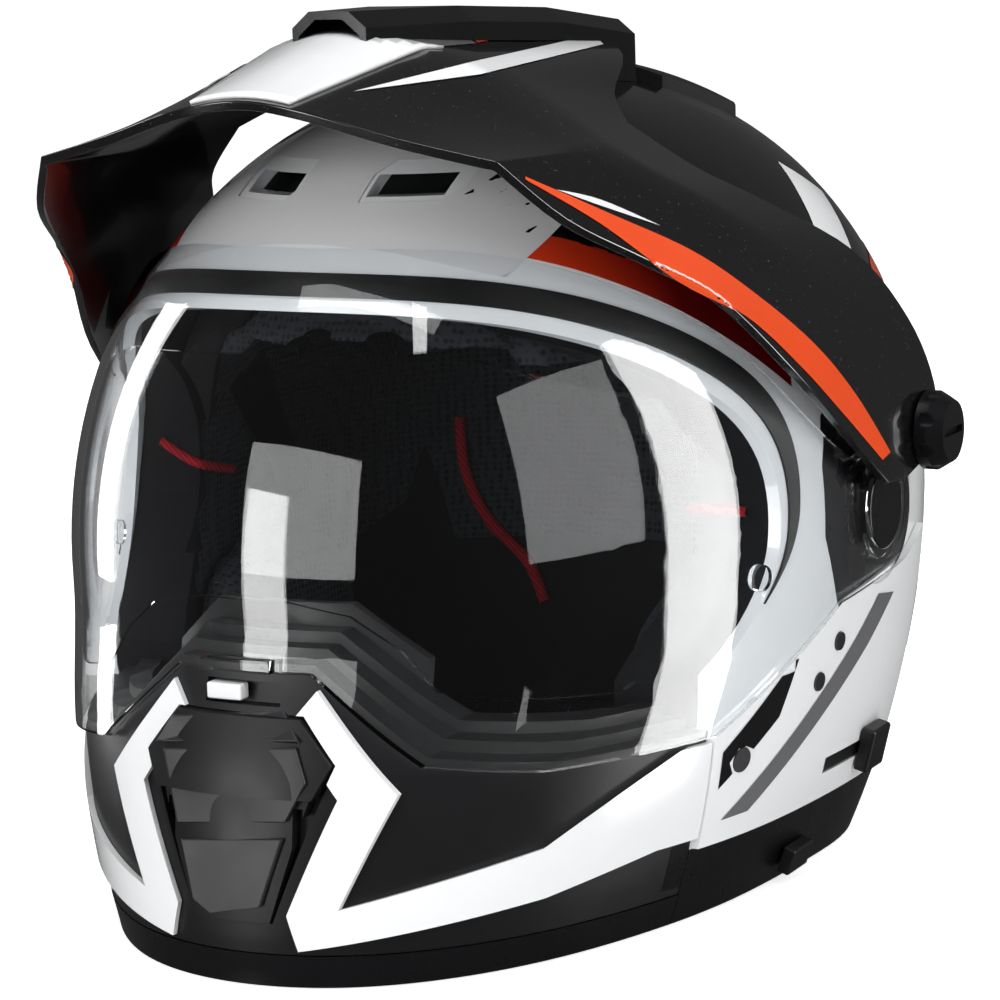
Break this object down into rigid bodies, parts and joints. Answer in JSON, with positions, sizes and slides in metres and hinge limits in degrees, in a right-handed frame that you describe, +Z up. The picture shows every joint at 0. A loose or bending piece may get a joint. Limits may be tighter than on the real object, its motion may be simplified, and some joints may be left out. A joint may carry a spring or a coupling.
{
  "type": "dual sport helmet",
  "caption": "Full-face dual sport motorcycle helmet with a screw-on sun peak, a clear turning face shield, an inner sun visor, chin and crown vents and a padded lining.",
  "frame": {"origin": "middle of the rest plane under the neck opening", "axes": "+Z up, the face looks along -Y, +X is the wearer's left"},
  "size_m": [0.3006, 0.3418, 0.285],
  "materials": {
    "shell_white": "gloss",
    "chin_white": "gloss",
    "foam": "matt",
    "foam_grey": "matt",
    "rubber_black": "matt",
    "trim_black": "satin",
    "lever_grey": "satin",
    "peak_black": "satin",
    "shield_clear": "polished",
    "lens_clear": "polished",
    "visor_smoke": "polished",
    "knob_grey": "satin",
    "pad_fabric": "woven",
    "webbing": "woven",
    "steel": "satin",
    "buckle_red": "satin"
  },
  "bodies": {
    "helmet": {"outer_shell": "shell_white", "side_cover_left": "shell_white", "side_cover_right": "shell_white", "chin_strip_left": "shell_white", "chin_strip_right": "shell_white", "peak_centre_panel": "shell_white", "chin_bar": "chin_white", "eps_liner": "foam", "chin_liner": "foam_grey", "eyeport_gasket": "rubber_black", "chin_seal": "rubber_black", "breath_guard": "rubber_black", "bottom_trim": "trim_black", "chin_trim": "trim_black", "side_plate_left": "trim_black", "side_plate_right": "trim_black", "shield_hub_left": "trim_black", "shield_hub_right": "trim_black", "rear_vent_cover": "trim_black", "top_vent_base": "trim_black", "chin_vent_cover": "trim_black", "side_plugs": "trim_black", "peak_scoop": "trim_black", "sun_lever_rail": "trim_black", "buckle_frame": "lever_grey", "ratchet_tongue": "lever_grey", "peak": "peak_black", "peak_top_screw": "knob_grey", "crown_pad": "pad_fabric", "brow_pad": "pad_fabric", "cheek_pad_left": "pad_fabric", "cheek_pad_right": "pad_fabric", "neck_roll": "pad_fabric", "chin_curtain": "pad_fabric", "strap_left": "webbing", "strap_right": "webbing", "strap_anchors": "steel"},
    "face_shield": {"face_shield": "shield_clear", "antifog_lens": "lens_clear", "lens_pins": "lens_clear", "ratchet_strip_left": "shield_clear", "ratchet_strip_right": "shield_clear"},
    "sun_visor": {"sun_visor": "visor_smoke"},
    "sun_lever": {"sun_lever": "lever_grey"},
    "chin_vent_switch": {"chin_vent_switch": "shell_white"},
    "top_vent_slider": {"top_vent_slider": "trim_black"},
    "peak_knob_left": {"peak_knob_left": "knob_grey"},
    "peak_knob_right": {"peak_knob_right": "knob_grey"},
    "release_left": {"release_left": "lever_grey"},
    "release_right": {"release_right": "lever_grey"},
    "buckle_lever": {"buckle_lever": "buckle_red"}
  },
  "joints": [
    {"name": "face_shield_turn", "type": "hinge", "parent": "helmet", "child": "face_shield", "pos_m": [0, 0.021, 0.119], "axis": [-1, 0, 0], "range_deg": [0, 22]},
    {"name": "sun_visor_turn", "type": "hinge", "parent": "helmet", "child": "sun_visor", "pos_m": [0, 0.021, 0.119], "axis": [1, 0, 0], "range_deg": [0, 38]},
    {"name": "sun_lever_slide", "type": "slide", "parent": "helmet", "child": "sun_lever", "axis": [0, -1, 0], "range_m": [0, 0.0221]},
    {"name": "chin_vent_slide", "type": "slide", "parent": "helmet", "child": "chin_vent_switch", "axis": [1, 0, 0], "range_m": [0, 0.012]},
    {"name": "top_vent_slide", "type": "slide", "parent": "helmet", "child": "top_vent_slider", "axis": [0, 1, 0], "range_m": [0, 0.008]},
    {"name": "peak_knob_left_turn", "type": "hinge", "parent": "helmet", "child": "peak_knob_left", "pos_m": [0.14, 0.042, 0.141], "axis": [1, 0, 0], "range_deg": [-90, 0]},
    {"name": "peak_knob_right_turn", "type": "hinge", "parent": "helmet", "child": "peak_knob_right", "pos_m": [-0.14, 0.042, 0.141], "axis": [1, 0, 0], "range_deg": [0, 90]},
    {"name": "release_left_pull", "type": "slide", "parent": "helmet", "child": "release_left", "axis": [1, 0, 0], "range_m": [0, 0.004], "stiffness_N_per_m": 300},
    {"name": "release_right_pull", "type": "slide", "parent": "helmet", "child": "release_right", "axis": [-1, 0, 0], "range_m": [0, 0.004], "stiffness_N_per_m": 300},
    {"name": "buckle_lever_lift", "type": "hinge", "parent": "helmet", "child": "buckle_lever", "pos_m": [0.0115, 0, 0.0116], "axis": [0, 1, 0], "range_deg": [0, 60], "stiffness_Nm_per_rad": 0.02}
  ],
  "couplings": [
    {"joint": "sun_lever_slide", "follows": "sun_visor_turn", "m_per_rad": 0.033171}
  ]
}
